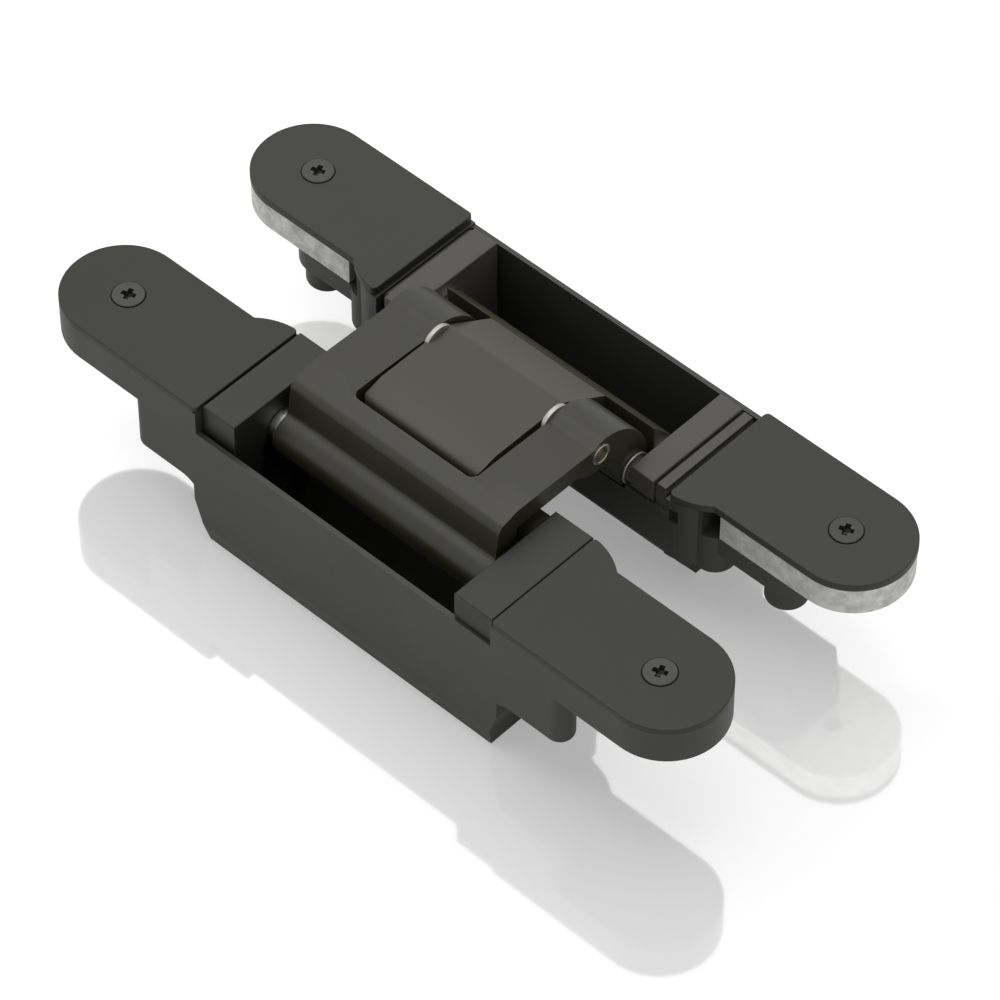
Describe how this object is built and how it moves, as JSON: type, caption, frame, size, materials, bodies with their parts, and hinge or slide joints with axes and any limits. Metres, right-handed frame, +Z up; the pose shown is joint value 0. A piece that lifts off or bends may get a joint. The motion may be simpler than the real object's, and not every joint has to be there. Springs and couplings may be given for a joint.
{
  "type": "concealed door hinge",
  "caption": "Concealed door hinge opened flat: two mortice bodies with rounded ends, joined by crossed arms that fold into the bodies when the door shuts.",
  "frame": {"origin": "middle of the footprint at the underside of the deep boxes", "axes": "X along the hinge, Y from body A to body B, Z up out of the pockets"},
  "size_m": [0.16, 0.0742, 0.0424],
  "materials": {
    "housing_black": "satin black coating on cast metal",
    "cover_black": "satin black coating on flat plate",
    "block_black": "satin black coating",
    "arm_black": "satin black coating on forged arm",
    "screw_black": "black oxide",
    "zinc": "bare mottled zinc",
    "pin_nickel": "nickel plated",
    "washer_bright": "bright turned",
    "bush_grey": "grey turned"
  },
  "bodies": {
    "body_a": {"housing_a": "housing_black", "cover_a_left": "cover_black", "cover_a_right": "cover_black", "cover_screws_a": "screw_black", "block_a_left": "block_black", "block_a_right": "block_black", "pivot_pin_a": "pin_nickel", "pivot_spacers_a": "bush_grey"},
    "t_link": {"t_arm": "arm_black", "slot_pin_b": "pin_nickel", "slot_bushes_b": "bush_grey"},
    "u_link": {"u_arm": "arm_black", "centre_pin": "pin_nickel", "centre_washers": "washer_bright", "slot_pin_a": "pin_nickel", "slot_bushes_a": "bush_grey"},
    "body_b": {"housing_b": "housing_black", "block_b_left": "block_black", "block_b_right": "block_black", "guide_strip_b_left": "block_black", "guide_strip_b_right": "block_black", "pivot_pin_b": "pin_nickel", "pivot_washers_b": "washer_bright"},
    "plates_b": {"mounting_plate_b_left": "zinc", "mounting_plate_b_right": "zinc", "cover_b_left": "cover_black", "cover_b_right": "cover_black", "cover_screws_b": "screw_black"}
  },
  "joints": [
    {"name": "t_on_a", "type": "hinge", "parent": "body_a", "child": "t_link", "pos_m": [0, -0.012, 0.0295], "axis": [1, 0, 0], "range_deg": [0, 109.18]},
    {"name": "u_on_t", "type": "hinge", "parent": "t_link", "child": "u_link", "pos_m": [0, 0.0038, 0.0386], "axis": [1, 0, 0], "range_deg": [-36.48, 0]},
    {"name": "b_on_u", "type": "hinge", "parent": "u_link", "child": "body_b", "pos_m": [0, 0.0128, 0.0278], "axis": [1, 0, 0], "range_deg": [0, 107.31]},
    {"name": "height_adjust", "type": "slide", "parent": "body_b", "child": "plates_b", "axis": [1, 0, 0], "range_m": [-0.0008, 0.0008]}
  ],
  "couplings": [
    {"joint": "u_on_t", "follows": "t_on_a", "ratio": -0.33391},
    {"joint": "b_on_u", "follows": "t_on_a", "ratio": 0.98257}
  ]
}
